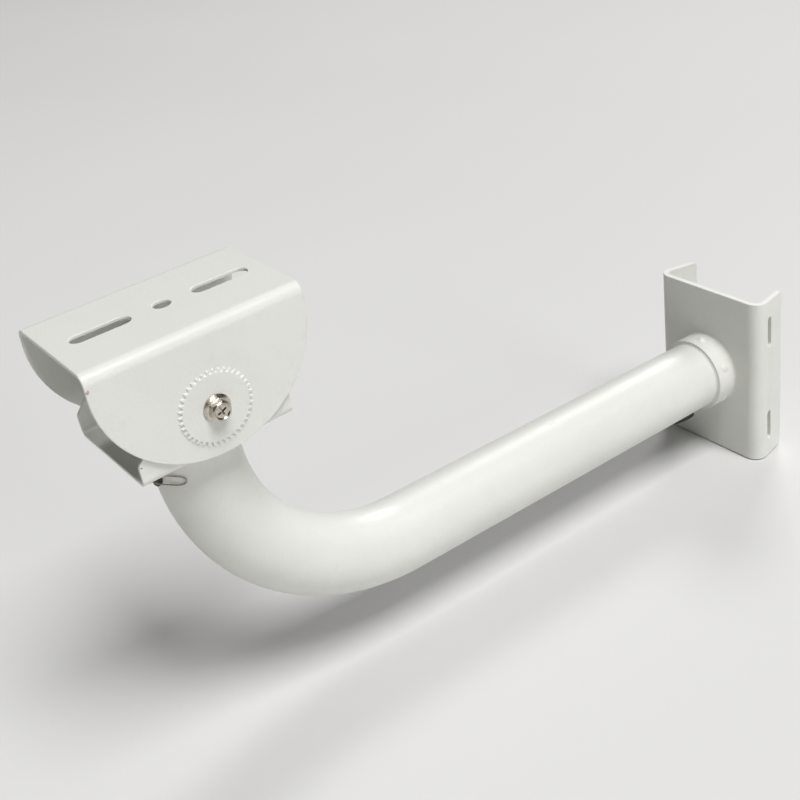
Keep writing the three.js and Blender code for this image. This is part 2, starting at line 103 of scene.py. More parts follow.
# ---------------------------------------------------------------- bench: making shapes


def deselect() -> None:
    """Leaves nothing selected."""
    for piece in list(bpy.context.selected_objects):
        piece.select_set(False)


def hold(piece: bpy.types.Object) -> bpy.types.Object:
    """Makes one piece the only one selected, and the active one."""
    deselect()
    piece.select_set(True)
    bpy.context.view_layer.objects.active = piece
    return piece


@contextmanager
def editing(piece: bpy.types.Object) -> Iterator[None]:
    """Works on one piece in edit mode.

    Args:
        piece: The mesh to open.
    """
    hold(piece)
    bpy.ops.object.mode_set(mode="EDIT")
    bpy.ops.mesh.select_mode(type=Part.VERTS.value)
    try:
        yield
    finally:
        bpy.ops.object.mode_set(mode="OBJECT")


def pick(piece: bpy.types.Object, part: Part, test: Callable[[Vector, Vector], bool]) -> int:
    """Selects the parts of an open mesh that pass a test, and nothing else.

    Args:
        piece: The mesh, open in edit mode.
        part: Vertices, edges or faces.
        test: Takes the part's middle in millimetres and its normal or direction.

    Returns:
        How many were picked.
    """
    bpy.ops.mesh.select_mode(type=part.value)
    bpy.ops.mesh.select_all(action="DESELECT")
    mesh = bmesh.from_edit_mesh(piece.data)
    found = 0
    if part is Part.VERTS:
        for v in mesh.verts:
            v.select_set(test(v.co / MM, v.normal))
            found += v.select
    elif part is Part.EDGES:
        for e in mesh.edges:
            a, b = e.verts[0].co / MM, e.verts[1].co / MM
            e.select_set(test((a + b) / 2, (b - a).normalized()))
            found += e.select
    else:
        for f in mesh.faces:
            f.select_set(test(f.calc_center_median() / MM, f.normal))
            found += f.select
    mesh.select_flush_mode()
    bmesh.update_edit_mesh(piece.data)
    return found


def settle(piece: bpy.types.Object, matrix: Optional[Matrix] = None) -> bpy.types.Object:
    """Moves a piece's mesh by a matrix and leaves the object at the origin.

    Args:
        piece: The piece to place.
        matrix: Its place in millimetres, or None to keep the place it has.

    Returns:
        The piece.
    """
    hold(piece)
    if matrix is not None:
        scaled = matrix.copy()
        scaled.translation = matrix.translation * MM
        piece.matrix_world = scaled @ piece.matrix_world
    bpy.ops.object.transform_apply(location=True, rotation=True, scale=True)
    return piece


def block(low: Point, high: Point) -> bpy.types.Object:
    """A rectangular blank between two corners in millimetres."""
    low, high = Vector(low), Vector(high)
    deselect()
    bpy.ops.mesh.primitive_cube_add(size=1, location=(low + high) * MM / 2, scale=(high - low) * MM)
    return settle(bpy.context.object)


def rod(radius: float, length: float, centre: Point, axis: Axis, sides: int = 64) -> bpy.types.Object:
    """A round or many-sided bar.

    Args:
        radius: Its radius in millimetres.
        length: Its length in millimetres.
        centre: Its middle in millimetres.
        axis: The way it lies.
        sides: Number of sides.

    Returns:
        The bar.
    """
    deselect()
    bpy.ops.mesh.primitive_cylinder_add(
        vertices=sides, radius=radius * MM, depth=length * MM,
        location=Vector(centre) * MM, rotation=axis.value,
    )
    return settle(bpy.context.object)


def traced(points: Sequence[Point]) -> bpy.types.Object:
    """A line of edges through the points, drawn by extruding one vertex."""
    deselect()
    bpy.ops.mesh.primitive_plane_add(size=MM)
    piece = bpy.context.object
    with editing(piece):
        bpy.ops.mesh.select_all(action="SELECT")
        bpy.ops.mesh.merge(type="CENTER")
        bpy.ops.transform.translate(value=Vector(points[0]) * MM)
        for a, b in zip(points, points[1:]):
            step = (Vector(b) - Vector(a)) * MM
            bpy.ops.mesh.extrude_region_move(TRANSFORM_OT_translate={"value": step})
    return piece


def turned(profile: Sequence[tuple[float, float]], steps: int = 96) -> bpy.types.Object:
    """A shape turned about +Z from a closed or axis-to-axis profile.

    Args:
        profile: (radius, height) pairs in millimetres.
        steps: Number of steps round.

    Returns:
        The turned solid.
    """
    piece = traced([(r, 0.0, z) for r, z in profile])
    with editing(piece):
        bpy.ops.mesh.select_all(action="SELECT")
        bpy.ops.mesh.spin(steps=steps, angle=2 * math.pi, center=(0, 0, 0), axis=(0, 0, 1))
        bpy.ops.mesh.select_all(action="SELECT")
        bpy.ops.mesh.remove_doubles(threshold=2e-6)
        bpy.ops.mesh.normals_make_consistent(inside=False)
    return piece


def join(first: bpy.types.Object, *others: bpy.types.Object) -> bpy.types.Object:
    """Puts several meshes in the first one's object."""
    hold(first)
    for other in others:
        other.select_set(True)
    bpy.ops.object.join()
    return first


def wrapped(*blanks: bpy.types.Object) -> bpy.types.Object:
    """The tight convex skin round some blanks, with its flat faces whole."""
    piece = join(*blanks)
    with editing(piece):
        bpy.ops.mesh.select_all(action="SELECT")
        bpy.ops.mesh.convex_hull()
        bpy.ops.mesh.select_all(action="SELECT")
        bpy.ops.mesh.dissolve_limited(angle_limit=math.radians(0.05))
    return piece


def finish_with(piece: bpy.types.Object, kind: str, **settings: object) -> bpy.types.Object:
    """Adds a modifier with its settings and applies it."""
    hold(piece)
    modifier = piece.modifiers.new(kind.lower(), kind)
    for name, value in settings.items():
        setattr(modifier, name, value)
    bpy.ops.object.modifier_apply(modifier=modifier.name)
    return piece


def work(piece: bpy.types.Object, tool: bpy.types.Object, cut: Cut) -> bpy.types.Object:
    """Cuts, keeps or welds a piece with another solid, which is used up."""
    finish_with(piece, "BOOLEAN", operation=cut.value, object=tool, solver="EXACT")
    bpy.data.objects.remove(tool)
    return piece


def soften(piece: bpy.types.Object, width: float, segments: int = 2, angle: float = 35) -> bpy.types.Object:
    """Rounds a piece's sharp edges.

    Args:
        piece: The piece.
        width: Size of the rounding in millimetres.
        segments: Steps across it.
        angle: Edges sharper than this many degrees are rounded.

    Returns:
        The piece.
    """
    return finish_with(
        piece, "BEVEL", width=width * MM, segments=segments, limit_method="ANGLE",
        angle_limit=math.radians(angle), use_clamp_overlap=True,
    )


def smooth(piece: bpy.types.Object, angle: float = 40, flats: Sequence[Point] = ()) -> bpy.types.Object:
    """Shades a piece smooth up to an angle, with its flat faces kept flat.

    Args:
        piece: The piece, before it is put in its tipped place.
        angle: Edges sharper than this many degrees stay sharp.
        flats: Directions of its flat faces, to either side.

    Returns:
        The piece.
    """
    hold(piece)
    bpy.ops.object.shade_smooth_by_angle(angle=math.radians(angle))
    if flats:
        ways = [Vector(way).normalized() for way in flats]
        with editing(piece):
            pick(piece, Part.FACES, lambda c, n: any(abs(n.dot(way)) > 0.99999 for way in ways))
            bpy.ops.mesh.mod_weighted_strength(set=True, face_strength="STRONG")
            bpy.ops.mesh.select_all(action="INVERT")
            bpy.ops.mesh.mod_weighted_strength(set=True, face_strength="WEAK")
        finish_with(piece, "WEIGHTED_NORMAL", keep_sharp=True, weight=50, use_face_influence=True)
    return piece


def twin(piece: bpy.types.Object, matrix: Matrix) -> bpy.types.Object:
    """A copy with its own mesh, placed by a matrix in millimetres."""
    copy = piece.copy()
    copy.data = piece.data.copy()
    bpy.context.collection.objects.link(copy)
    return settle(copy, matrix)


def shift(x: float = 0, y: float = 0, z: float = 0) -> Matrix:
    """A move in millimetres."""
    return Matrix.Translation((x, y, z))


def turn(degrees: float, axis: str) -> Matrix:
    """A turn about an axis through the origin."""
    return Matrix.Rotation(math.radians(degrees), 4, axis)


def folded_channel(half_web: float, half_edge: float, depth: float, length: float,
                   sheet: float, fold: float, steps: int = 10) -> bpy.types.Object:
    """A channel folded from sheet: web on z = 0, flanges up to z = depth, long along y.

    Args:
        half_web: Half of the outside width at the sharp corner of each fold.
        half_edge: Half of the outside width at the flanges' free edges.
        depth: Outside height of the flanges.
        length: Length along y, centred on the origin.
        sheet: Sheet thickness.
        fold: Distance from the sharp corner to where each fold starts.
        steps: Steps round each fold.

    Returns:
        The channel.
    """
    piece = block((-half_web, -length / 2, 0), (half_web, length / 2, depth))
    with editing(piece):
        pick(piece, Part.FACES, lambda c, n: abs(n.y) > 0.9 or n.z > 0.9)
        bpy.ops.mesh.delete(type="FACE")
        pick(piece, Part.VERTS, lambda c, n: c.z > depth / 2)
        bpy.ops.transform.resize(value=(half_edge / half_web, 1, 1))
        pick(piece, Part.EDGES, lambda c, n: c.z < 0.01 and abs(c.x) > half_web - 0.01 and abs(n.y) > 0.9)
        bpy.ops.mesh.bevel(offset=fold * MM, segments=steps, profile=0.5, affect="EDGES")
    return finish_with(piece, "SOLIDIFY", thickness=sheet * MM, offset=-1, use_even_offset=True)


def slot_cutter(length: float, width: float, centre: Point, axis: Axis, along: Point) -> bpy.types.Object:
    """A round-ended bar that cuts a slot.

    Args:
        length: Overall length of the slot.
        width: Its width.
        centre: Its middle.
        axis: The way through the sheet.
        along: Unit vector along the slot.

    Returns:
        The cutter.
    """
    way = Vector(along)
    run = way * (length - width) / 2
    middle = Vector(centre)
    return wrapped(*(rod(width / 2, 24, middle + run * side, axis, 40) for side in (-1, 1)))


# ---------------------------------------------------------------- finishes: making materials


class Wiring:
    """Adds nodes to one tree and joins them."""

    def __init__(self, tree: bpy.types.NodeTree) -> None:
        """Keeps the tree."""
        self.tree = tree

    def add(self, kind: str, settings: Optional[dict] = None, **values: object) -> bpy.types.Node:
        """Adds a node.

        Args:
            kind: The node's type without its "ShaderNode" beginning.
            settings: The node's own settings.
            **values: Values or sockets for its inputs, with _ for spaces.

        Returns:
            The node.
        """
        node = self.tree.nodes.new("ShaderNode" + kind)
        for name, value in (settings or {}).items():
            setattr(node, name, value)
        for name, value in values.items():
            self.feed(node, name.replace("_", " "), value)
        return node

    def feed(self, node: bpy.types.Node, name: object, value: object) -> None:
        """Joins a socket to an input, or sets the input's value."""
        if isinstance(value, bpy.types.NodeSocket):
            self.tree.links.new(value, node.inputs[name])
        else:
            node.inputs[name].default_value = value

    def math(self, how: str, a: object, b: object = 0.0, clamp: bool = False) -> bpy.types.NodeSocket:
        """The output of a Math node."""
        node = self.add("Math", {"operation": how, "use_clamp": clamp})
        self.feed(node, 0, a)
        self.feed(node, 1, b)
        return node.outputs[0]

    def spread(self, value: object, low: float, high: float, to_low: float = 0.0,
               to_high: float = 1.0) -> bpy.types.NodeSocket:
        """A value mapped smoothly from one range to another."""
        node = self.add("MapRange", {"interpolation_type": "SMOOTHSTEP"}, Value=value)
        for name, number in zip(("From Min", "From Max", "To Min", "To Max"), (low, high, to_low, to_high)):
            node.inputs[name].default_value = number
        return node.outputs[0]

    def blend(self, share: object, a: object, b: object) -> bpy.types.NodeSocket:
        """Two colours mixed by a share."""
        node = self.add("Mix", {"data_type": "RGBA"})
        self.feed(node, 0, share)
        self.feed(node, 6, a)
        self.feed(node, 7, b)
        return node.outputs[2]

    def noise(self, scale: object, detail: float, where: object,
              stretch: float = 0.5) -> bpy.types.NodeSocket:
        """The value of a noise texture."""
        cloud = self.add("TexNoise", Scale=scale, Detail=detail, Roughness=stretch, Vector=where)
        return cloud.outputs["Fac"]


def effect(name: str, inputs: dict[str, float], outputs: Sequence[str],
           vectors: Sequence[str] = ()) -> tuple[bpy.types.NodeTree, Wiring, bpy.types.Node, bpy.types.Node]:
    """Starts a shader node group of values.

    Args:
        name: The group's name.
        inputs: Its number inputs and their usual values.
        outputs: Its number outputs.
        vectors: Its vector inputs.

    Returns:
        The group, its wiring, its input node and its output node.
    """
    tree = bpy.data.node_groups.new(name, "ShaderNodeTree")
    for label, usual in inputs.items():
        tree.interface.new_socket(label, in_out="INPUT", socket_type="NodeSocketFloat").default_value = usual
    for label in vectors:
        tree.interface.new_socket(label, in_out="INPUT", socket_type="NodeSocketVector")
    for label in outputs:
        tree.interface.new_socket(label, in_out="OUTPUT", socket_type="NodeSocketFloat")
    return tree, Wiring(tree), tree.nodes.new("NodeGroupInput"), tree.nodes.new("NodeGroupOutput")


class Effects:
    """Surface effects that several finishes share, each built once."""

    def __init__(self) -> None:
        """Builds every group."""
        self.peel = self._orange_peel()
        self.film = self._film()
        self.edges = self._edges()
        self.chip = self._chip()
        self.grain = self._grain()

    @staticmethod
    def _orange_peel() -> bpy.types.NodeTree:
        """Dimpled skin of a sprayed coat: Height for bump, Tone for faint speckle."""
        tree, wire, start, end = effect("orange_peel", {"Scale": 620.0}, ("Height", "Tone"))
        where = wire.add("TexCoord").outputs["Object"]
        coarse = wire.noise(start.outputs["Scale"], 1.5, where)
        fine = wire.noise(wire.math("MULTIPLY", start.outputs["Scale"], 3.1), 2.0, where)
        soft = wire.spread(coarse, 0.3, 0.7)
        height = wire.math("ADD", wire.math("MULTIPLY", soft, 0.75), wire.math("MULTIPLY", fine, 0.25))
        wire.feed(end, "Height", height)
        wire.feed(end, "Tone", wire.spread(fine, 0.42, 0.62))
        return tree

    @staticmethod
    def _film() -> bpy.types.NodeTree:
        """Patches and smudges left by handling and air: Patch is broad, Smudge is small."""
        tree, wire, start, end = effect("handled_film", {"Scale": 22.0}, ("Patch", "Smudge"))
        where = wire.add("TexCoord").outputs["Object"]
        broad = wire.noise(start.outputs["Scale"], 3.0, where, 0.55)
        small = wire.noise(wire.math("MULTIPLY", start.outputs["Scale"], 6.5), 4.0, where, 0.6)
        wire.feed(end, "Patch", wire.spread(broad, 0.35, 0.7))
        wire.feed(end, "Smudge", wire.spread(small, 0.58, 0.74))
        return tree

    @staticmethod
    def _edges() -> bpy.types.NodeTree:
        """Edges where a coat pulls thin or plating is rubbed: Mask is 1 on them."""
        tree, wire, start, end = effect("thin_edges", {"Radius": 0.0006}, ("Mask",))
        rounded = wire.add("Bevel", {"samples": 6}, Radius=start.outputs["Radius"]).outputs[0]
        normal = wire.add("NewGeometry").outputs["Normal"]
        match = wire.add("VectorMath", {"operation": "DOT_PRODUCT"})
        wire.feed(match, 0, rounded)
        wire.feed(match, 1, normal)
        where = wire.add("TexCoord").outputs["Object"]
        broken = wire.spread(wire.noise(310.0, 3.0, where), 0.3, 0.65, 0.35, 1.0)
        mask = wire.spread(match.outputs["Value"], 0.992, 0.9, 0.0, 1.0)
        wire.feed(end, "Mask", wire.math("MULTIPLY", mask, broken))
        return tree

    @staticmethod
    def _chip() -> bpy.types.NodeTree:
        """One small ragged chip about Centre: Mask is 1 inside it."""
        tree, wire, start, end = effect("paint_chip", {"Size": 0.0012}, ("Mask",), ("Centre",))
        where = wire.add("TexCoord").outputs["Object"]
        away = wire.add("VectorMath", {"operation": "DISTANCE"})
        wire.feed(away, 0, where)
        wire.feed(away, 1, start.outputs["Centre"])
        ragged = wire.spread(wire.noise(900.0, 3.0, where), 0.3, 0.7, 0.45, 1.3)
        reach = wire.math("MULTIPLY", start.outputs["Size"], ragged)
        inside = wire.math("SUBTRACT", reach, away.outputs["Value"])
        wire.feed(end, "Mask", wire.spread(inside, -0.0001, 0.0001))
        return tree

    @staticmethod
    def _grain() -> bpy.types.NodeTree:
        """Fine scratches and mottle of bare or plated metal: Height and Mottle."""
        tree, wire, start, end = effect("metal_grain", {"Scale": 900.0}, ("Height", "Mottle"))
        where = wire.add("TexCoord").outputs["Object"]
        long_way = wire.add("Mapping", Vector=where, Scale=(1.0, 0.12, 1.0)).outputs[0]
        lines = wire.noise(start.outputs["Scale"], 3.0, long_way)
        mottle = wire.noise(wire.math("MULTIPLY", start.outputs["Scale"], 0.4), 4.0, where, 0.6)
        wire.feed(end, "Height", lines)
        wire.feed(end, "Mottle", wire.spread(mottle, 0.35, 0.68))
        return tree


def new_material(name: str) -> tuple[bpy.types.Material, Wiring, bpy.types.Node]:
    """A material with its wiring and its Principled shader."""
    material = bpy.data.materials.new(name)
    material.use_nodes = True
    wire = Wiring(material.node_tree)
    return material, wire, material.node_tree.nodes["Principled BSDF"]


def grouped(wire: Wiring, tree: bpy.types.NodeTree, **values: object) -> bpy.types.Node:
    """Places a shared effect in a material with its own values."""
    node = wire.tree.nodes.new("ShaderNodeGroup")
    node.node_tree = tree
    for name, value in values.items():
        wire.feed(node, name, value)
    return node


@dataclass(frozen=True)
class PowderCoat:
    """White powder coat: satin, finely dimpled, thin on edges, with an optional chip to bare primer."""

    name: str = "powder_coat_white"
    colour: tuple = (0.765, 0.768, 0.728, 1)
    shade: tuple = (0.725, 0.728, 0.683, 1)
    edge: tuple = (0.80, 0.80, 0.775, 1)
    primer: tuple = (0.50, 0.37, 0.29, 1)
    satin: float = 0.36
    dimple: float = 0.16
    peel_scale: float = 620.0
    chip_at: Optional[tuple] = None
    chip_size: float = 0.0010

    def build(self, effects: Effects) -> bpy.types.Material:
        """Makes the material.

        Args:
            effects: The shared surface effects.

        Returns:
            The material.
        """
        material, wire, shader = new_material(self.name)
        peel = grouped(wire, effects.peel, Scale=self.peel_scale).outputs
        film = grouped(wire, effects.film).outputs
        edges = grouped(wire, effects.edges).outputs["Mask"]
        tone = wire.math("MULTIPLY", film["Patch"], 0.55)
        tone = wire.math("ADD", tone, wire.math("MULTIPLY", peel["Tone"], 0.22), clamp=True)
        colour = wire.blend(tone, self.colour, self.shade)
        colour = wire.blend(wire.math("MULTIPLY", film["Smudge"], 0.10), colour, (0.55, 0.54, 0.50, 1))
        colour = wire.blend(wire.math("MULTIPLY", edges, 0.5), colour, self.edge)
        rough = wire.math("ADD", wire.math("MULTIPLY", film["Patch"], 0.06), self.satin)
        rough = wire.math("ADD", rough, wire.math("MULTIPLY", film["Smudge"], 0.08))
        rough = wire.math("SUBTRACT", rough, wire.math("MULTIPLY", edges, 0.05))
        height = peel["Height"]
        if self.chip_at is not None:
            chip = grouped(wire, effects.chip, Centre=self.chip_at, Size=self.chip_size).outputs["Mask"]
            colour = wire.blend(chip, colour, self.primer)
            rough = wire.math("ADD", rough, wire.math("MULTIPLY", chip, 0.3))
            height = wire.math("SUBTRACT", height, wire.math("MULTIPLY", chip, 2.5))
        wire.feed(shader, "Base Color", colour)
        wire.feed(shader, "Roughness", rough)
        bump = wire.add("Bump", Strength=self.dimple, Distance=0.0003, Height=height)
        wire.feed(shader, "Normal", bump.outputs[0])
        shader.inputs["Specular IOR Level"].default_value = 0.5
        return material


@dataclass(frozen=True)
class Rubber:
    """Black moulded rubber with a dull skin and a little pale bloom."""

    name: str = "grommet_rubber_black"
    colour: tuple = (0.009, 0.009, 0.010, 1)
    bloom: tuple = (0.045, 0.045, 0.048, 1)
    rough: float = 0.52

    def build(self, effects: Effects) -> bpy.types.Material:
        """Makes the material from the shared effects."""
        material, wire, shader = new_material(self.name)
        peel = grouped(wire, effects.peel, Scale=1500.0).outputs
        film = grouped(wire, effects.film, Scale=90.0).outputs
        patch = wire.math("MULTIPLY", film["Patch"], 0.5)
        smudge = wire.math("MULTIPLY", film["Smudge"], 0.2)
        wire.feed(shader, "Base Color", wire.blend(patch, self.colour, self.bloom))
        wire.feed(shader, "Roughness", wire.math("ADD", smudge, self.rough))
        bump = wire.add("Bump", Strength=0.2, Distance=0.0002, Height=peel["Height"])
        wire.feed(shader, "Normal", bump.outputs[0])
        return material


@dataclass(frozen=True)
class Metal:
    """Plated or drawn metal with fine scratches, mottle and rubbed edges."""

    name: str
    colour: tuple
    tarnish: tuple
    rubbed: tuple
    rough: float
    scratch: float = 0.12
    scale: float = 1100.0

    def build(self, effects: Effects) -> bpy.types.Material:
        """Makes the material.

        Args:
            effects: The shared surface effects.

        Returns:
            The material.
        """
        material, wire, shader = new_material(self.name)
        grain = grouped(wire, effects.grain, Scale=self.scale).outputs
        edges = grouped(wire, effects.edges, Radius=0.0004).outputs["Mask"]
        colour = wire.blend(wire.math("MULTIPLY", grain["Mottle"], 0.6), self.colour, self.tarnish)
        colour = wire.blend(wire.math("MULTIPLY", edges, 0.6), colour, self.rubbed)
        wire.feed(shader, "Base Color", colour)
        rough = wire.math("ADD", wire.math("MULTIPLY", grain["Mottle"], 0.14), self.rough)
        wire.feed(shader, "Roughness", wire.math("SUBTRACT", rough, wire.math("MULTIPLY", edges, 0.06)))
        shader.inputs["Metallic"].default_value = 1.0
        bump = wire.add("Bump", Strength=self.scratch, Distance=0.0001, Height=grain["Height"])
        wire.feed(shader, "Normal", bump.outputs[0])
        return material


@dataclass
class Finishes:
    """Every finish of the bracket, built once."""

    effects: Effects
    chip_from_pivot: tuple = (0.0394, -0.0590, 0.0330)
    paint: bpy.types.Material = field(init=False)
    seat_paint: bpy.types.Material = field(init=False)
    rubber: bpy.types.Material = field(init=False)
    nickel: bpy.types.Material = field(init=False)
    zinc: bpy.types.Material = field(init=False)
    wire: bpy.types.Material = field(init=False)

    def __post_init__(self) -> None:
        """Builds the materials."""
        pivot = Vector(frame["joints"][0]["pos_m"])
        chip = pivot + Vector(self.chip_from_pivot)
        self.paint = PowderCoat().build(self.effects)
        self.seat_paint = PowderCoat(name="powder_coat_seat", chip_at=tuple(chip)).build(self.effects)
        self.rubber = Rubber().build(self.effects)
        self.nickel = Metal(
            "nickel_plate_bright", (0.64, 0.60, 0.53, 1), (0.44, 0.40, 0.34, 1), (0.76, 0.73, 0.67, 1), 0.20,
        ).build(self.effects)
        self.zinc = Metal(
            "zinc_plate_dull", (0.52, 0.53, 0.55, 1), (0.33, 0.34, 0.36, 1), (0.66, 0.67, 0.68, 1), 0.34,
        ).build(self.effects)
        self.wire = Metal(
            "drawn_steel_dull", (0.46, 0.41, 0.37, 1), (0.32, 0.26, 0.22, 1), (0.55, 0.52, 0.49, 1), 0.45,
        ).build(self.effects)


def hand_over(piece: bpy.types.Object, name: str, material: bpy.types.Material, slot: Slot,
              body: Body, *nodes: str) -> None:
    """Names a finished piece, dresses it and lets it ride.

    Args:
        piece: The finished piece.
        name: Its name.
        material: Its material.
        slot: The record's slot. Not used.
        body: The body it rides on.
        *nodes: The CAD nodes it stands for.
    """
    piece.name = name
    piece.data.name = name
    piece.data.materials.clear()
    piece.data.materials.append(material)
    for polygon in piece.data.polygons:
        polygon.material_index = 0
    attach(piece, body.value)
    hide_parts(*nodes)
    log.info("%s: %d faces, for %s", name, len(piece.data.polygons), ", ".join(nodes))


# ---------------------------------------------------------------- the bracket's sub-assemblies


@dataclass
class PolePlate:
    """Channel of thick sheet that a pole's straps hold."""

    finishes: Finishes
    width: float = 92.8
    height: float = 126
    depth: float = 32.6
    sheet: float = 4
    bend: float = 9.5
    lean: float = 12.3
    corner: float = 2.6
    slot_length: float = 23.5
    slot_width: float = 5
    slot_z: float = 38
    slot_y: float = -17.7

    def build(self) -> bpy.types.Object:
        """Folds the channel, trims its free edges and cuts its strap slots."""
        lean = math.radians(self.lean)
        start = self.width / 2 - self.bend
        fold = self.bend * math.tan(math.pi / 4 + lean / 2)
        half_web = start + fold
        over = 2.0
        tall = self.depth + over
        piece = folded_channel(half_web, half_web - tall * math.tan(lean), tall, self.height,
                               self.sheet, fold, 14)
        settle(piece, shift(y=-self.depth) @ turn(-90, "X"))
        with editing(piece):
            bpy.ops.mesh.select_all(action="SELECT")
            bpy.ops.mesh.bisect(plane_co=(0, 0, 0), plane_no=(0, 1, 0), use_fill=True, clear_outer=True)
            half = self.height / 2
            pick(piece, Part.EDGES,
                 lambda c, n: c.y > -0.05 and abs(c.z) > half - 0.05 and abs(n.x) > 0.9)
            bpy.ops.mesh.bevel(offset=self.corner * MM, segments=8, affect="EDGES")
        for side in (-1, 1):
            for end in (-1, 1):
                at = (side * 44, self.slot_y, end * self.slot_z)
                work(piece, slot_cutter(self.slot_length, self.slot_width, at, Axis.X, (0, 0, 1)), Cut.TAKE)
        soften(piece, 0.55, 3)
        side = (math.cos(lean), math.sin(lean))
        return smooth(piece, 40, (*SQUARE, (side[0], side[1], 0), (-side[0], side[1], 0)))

    def dress(self, piece: bpy.types.Object) -> None:
        """Gives the plate its coat."""
        hand_over(piece, "pole_plate", self.finishes.paint, Slot.PAINT, Body.BRACKET, "back_plate")


@dataclass
class Arm:
    """Bent tube with its cable holes, sleeve, rivets and weld beads."""

    finishes: Finishes
    front: float
    radius: float = 24
    wall: float = 2
    run: float = 281
    bend: float = 119.4
    angle: float = 86.5
    leg: float = 19
    base_hole: tuple = (35.5, 11.0)
    head_hole: tuple = (18.4, 5.0)
    sleeve_radius: float = 26.8
    sleeve_length: float = 16.4
    sleeve_edge: float = 0.35
    rivets: int = 6
    rivet_at: float = 8.6
    rivet_turn: float = -4.5
    rivet_radius: float = 3.8
    rivet_height: float = 1.3
    bead: float = 0.6
    seat_bead: float = 2.6

    @property
    def along(self) -> Vector:
        """Unit vector up the leg."""
        a = math.radians(self.angle)
        return Vector((0, -math.cos(a), math.sin(a)))

    @property
    def fore(self) -> Vector:
        """Unit vector out of the leg's front."""
        a = math.radians(self.angle)
        return Vector((0, -math.sin(a), -math.cos(a)))

    @property
    def leg_end(self) -> Vector:
        """Middle of the leg's end under the cradle."""
        a = math.radians(self.angle)
        start = Vector((0, self.front - self.run - self.bend * math.sin(a), self.bend * (1 - math.cos(a))))
        return start + self.along * self.leg

    @property
    def head_frame(self) -> Matrix:
        """Place of the head hole: z out of the leg's front, y up the leg."""
        at = self.leg_end - self.along * self.head_hole[0]
        return frame_of(Vector((1, 0, 0)), self.along, self.fore, at)

    @property
    def base_frame(self) -> Matrix:
        """Place of the base hole: z down out of the tube, y along it."""
        at = Vector((0, self.front - self.base_hole[0], 0))
        return frame_of(Vector((-1, 0, 0)), Vector((0, 1, 0)), Vector((0, 0, -1)), at)

    def build_tube(self) -> bpy.types.Object:
        """Draws the tube out, spins its bend, draws its leg and bores its cable holes."""
        deselect()
        bpy.ops.mesh.primitive_circle_add(
            vertices=96, radius=self.radius * MM, location=(0, (self.front - GAP) * MM, 0),
            rotation=(math.pi / 2, 0, 0),
        )
        piece = settle(bpy.context.object)
        centre = Vector((0, self.front - self.run, self.bend)) * MM
        with editing(piece):
            bpy.ops.mesh.select_all(action="SELECT")
            step = (0, -(self.run - GAP) * MM / 4, 0)
            for _ in range(4):
                bpy.ops.mesh.extrude_region_move(TRANSFORM_OT_translate={"value": step})
            bpy.ops.mesh.spin(steps=60, angle=math.radians(self.angle), center=centre, axis=(1, 0, 0))
            start = self.leg_end - self.along * self.leg
            pick(piece, Part.VERTS, lambda c, n: abs((c - start).dot(self.along)) < 0.05)
            rise = self.along * (self.leg - 0.05) * MM
            bpy.ops.mesh.extrude_region_move(TRANSFORM_OT_translate={"value": rise})
            bpy.ops.mesh.select_all(action="SELECT")
            bpy.ops.mesh.remove_doubles(threshold=2e-6)
            bpy.ops.mesh.normals_make_consistent(inside=False)
        finish_with(piece, "SOLIDIFY", thickness=self.wall * MM, offset=-1, use_even_offset=True)
        for hole, place in ((self.base_hole, self.base_frame), (self.head_hole, self.head_frame)):
            drill = settle(rod(hole[1], 30, (0, 0, 24), Axis.Z, 48), place)
            work(piece, drill, Cut.TAKE)
        return smooth(piece, 30)

    def build_sleeve(self) -> bpy.types.Object:
        """Turns the sleeve, with its front edge rounded."""
        r, inner, end = self.sleeve_radius, self.radius + 0.02, self.sleeve_length
        e = self.sleeve_edge
        edge = [(r - e + e * math.cos(a), end - e + e * math.sin(a))
                for a in (math.radians(18 * i) for i in range(6))]
        profile = [(inner, 0), (r, 0), *edge, (inner, end), (inner, 0)]
        piece = turned(profile, 128)
        settle(piece, shift(y=self.front - GAP) @ turn(90, "X"))
        return smooth(piece, 40)

    def build_bead(self, inner: float, leg: float, place: Matrix, ripples: int,
                   depth: float) -> bpy.types.Object:
        """Turns a fillet weld and presses its ripples.

        Args:
            inner: Radius of the tube it runs round.
            leg: Leg of the fillet.
            place: Its place, with z away from the other part.
            ripples: Number of ripples round it.
            depth: How much each ripple stands out.

        Returns:
            The bead.
        """
        arc = [(inner + leg * 1.02 * math.cos(a), leg * 1.02 * math.sin(a))
               for a in (math.radians(15 * i) for i in range(7))]
        root = (inner - 0.1, -0.25)
        piece = turned([root, (inner + leg, -0.25), *arc, (inner - 0.1, leg), root], ripples * 4)
        pitch = 2 * math.pi / ripples

        def crest(c: Vector, n: Vector) -> bool:
            """Whether a point is on a ripple's crest, away from the bead's root."""
            share = (math.atan2(c.y, c.x) % pitch) / pitch
            return 0.2 < share < 0.6 and math.hypot(c.x, c.y) > inner + 0.15 and c.z > -0.1

        with editing(piece):
            pick(piece, Part.VERTS, crest)
            bpy.ops.transform.shrink_fatten(value=depth * MM)
        return smooth(settle(piece, place), 60)

    def build_rivet(self) -> bpy.types.Object:
        """Turns one low dome on its shank, its z out of the sleeve."""
        seat, r, h = self.sleeve_radius, self.rivet_radius, self.rivet_height
        swell = [(r * (1 - i / 10), seat - 0.25 + (h + 0.05) * math.sin(math.pi / 20 * i) ** 1.3)
                 for i in range(10)]
        tail = self.radius - self.wall - 1.6
        profile = [(0, tail), (1.2, tail), (1.6, tail + 0.4), (1.6, seat - 0.7), (r, seat - 0.7), *swell,
                   (0, seat - 0.2 + h)]
        return smooth(turned(profile, 40), 50)

